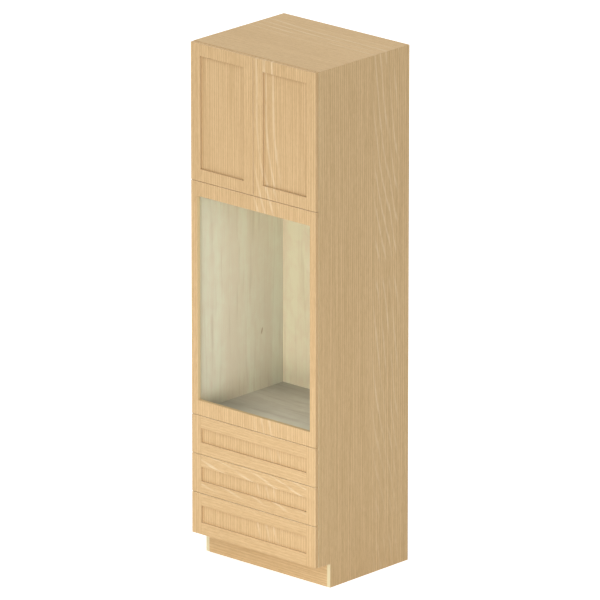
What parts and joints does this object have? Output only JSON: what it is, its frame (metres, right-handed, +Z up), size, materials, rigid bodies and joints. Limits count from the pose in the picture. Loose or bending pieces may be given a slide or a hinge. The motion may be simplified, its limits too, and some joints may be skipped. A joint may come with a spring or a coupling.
{
  "type": "tall oven housing unit",
  "caption": "Tall frameless kitchen unit in oak with an open housing for a wall oven, hinged frame and panel doors above it and drawers below.",
  "frame": {"origin": "on the floor, under the centre of the footprint of the closed unit", "axes": "+Z up, -Y out of the front of the unit, +X to the right of someone who faces it"},
  "size_m": [0.762, 0.6206, 2.438],
  "materials": {
    "oak": "clear satin lacquer on rift-cut oak veneer",
    "maple": "pale maple laminate",
    "birch": "clear lacquer on birch plywood",
    "steel": "nickel or zinc plated steel"
  },
  "bodies": {
    "carcass": {"left_side_panel": "oak", "right_side_panel": "oak", "top_panel": "oak", "bottom_panel": "maple", "oven_deck": "maple", "cupboard_floor": "maple", "adjustable_shelf": "maple", "back_panel": "maple", "rear_nailer": "birch", "toe_kick": "oak", "oven_trim_panel": "oak", "left_lower_hinge_arm": "steel", "left_upper_hinge_arm": "steel", "right_lower_hinge_arm": "steel", "right_upper_hinge_arm": "steel", "drawer_1_left_runner": "steel", "drawer_1_right_runner": "steel", "drawer_2_left_runner": "steel", "drawer_2_right_runner": "steel", "drawer_3_left_runner": "steel", "drawer_3_right_runner": "steel"},
    "left_door": {"left_door_frame": "oak", "left_door_panel": "oak", "left_lower_hinge_cup": "steel", "left_upper_hinge_cup": "steel"},
    "left_upper_link": {"left_upper_hinge_link": "steel"},
    "left_lower_link": {"left_lower_hinge_link": "steel"},
    "right_door": {"right_door_frame": "oak", "right_door_panel": "oak", "right_lower_hinge_cup": "steel", "right_upper_hinge_cup": "steel"},
    "right_upper_link": {"right_upper_hinge_link": "steel"},
    "right_lower_link": {"right_lower_hinge_link": "steel"},
    "drawer_1": {"drawer_1_left_stile": "oak", "drawer_1_right_stile": "oak", "drawer_1_top_rail": "oak", "drawer_1_bottom_rail": "oak", "drawer_1_panel": "oak", "drawer_1_box": "birch", "drawer_1_bottom": "birch", "drawer_1_left_slide": "steel", "drawer_1_right_slide": "steel"},
    "drawer_2": {"drawer_2_left_stile": "oak", "drawer_2_right_stile": "oak", "drawer_2_top_rail": "oak", "drawer_2_bottom_rail": "oak", "drawer_2_panel": "oak", "drawer_2_box": "birch", "drawer_2_bottom": "birch", "drawer_2_left_slide": "steel", "drawer_2_right_slide": "steel"},
    "drawer_3": {"drawer_3_left_stile": "oak", "drawer_3_right_stile": "oak", "drawer_3_top_rail": "oak", "drawer_3_bottom_rail": "oak", "drawer_3_panel": "oak", "drawer_3_box": "birch", "drawer_3_bottom": "birch", "drawer_3_left_slide": "steel", "drawer_3_right_slide": "steel"}
  },
  "joints": [
    {"name": "left_upper_link_swing", "type": "hinge", "parent": "carcass", "child": "left_upper_link", "pos_m": [-0.3485, -0.28425, 2.3365], "axis": [0, 0, -1], "range_deg": [-32, 0]},
    {"name": "left_door_swing", "type": "hinge", "parent": "left_upper_link", "child": "left_door", "pos_m": [-0.3705, -0.29575, 2.3365], "axis": [0, 0, -1], "range_deg": [0, 139]},
    {"name": "left_lower_link_swing", "type": "hinge", "parent": "carcass", "child": "left_lower_link", "pos_m": [-0.3485, -0.28425, 1.893], "axis": [0, 0, -1], "range_deg": [-32, 0]},
    {"name": "right_upper_link_swing", "type": "hinge", "parent": "carcass", "child": "right_upper_link", "pos_m": [0.3485, -0.28425, 2.3365], "axis": [0, 0, 1], "range_deg": [-32, 0]},
    {"name": "right_door_swing", "type": "hinge", "parent": "right_upper_link", "child": "right_door", "pos_m": [0.3705, -0.29575, 2.3365], "axis": [0, 0, 1], "range_deg": [0, 139]},
    {"name": "right_lower_link_swing", "type": "hinge", "parent": "carcass", "child": "right_lower_link", "pos_m": [0.3485, -0.28425, 1.893], "axis": [0, 0, 1], "range_deg": [-32, 0]},
    {"name": "drawer_1_slide", "type": "slide", "parent": "carcass", "child": "drawer_1", "axis": [0, -1, 0], "range_m": [0, 0.38]},
    {"name": "drawer_2_slide", "type": "slide", "parent": "carcass", "child": "drawer_2", "axis": [0, -1, 0], "range_m": [0, 0.38]},
    {"name": "drawer_3_slide", "type": "slide", "parent": "carcass", "child": "drawer_3", "axis": [0, -1, 0], "range_m": [0, 0.38]}
  ],
  "couplings": [
    {"joint": "left_upper_link_swing", "follows": "left_door_swing", "ratio": -0.23021},
    {"joint": "left_lower_link_swing", "follows": "left_door_swing", "ratio": -0.23021},
    {"joint": "right_upper_link_swing", "follows": "right_door_swing", "ratio": -0.23021},
    {"joint": "right_lower_link_swing", "follows": "right_door_swing", "ratio": -0.23021}
  ]
}
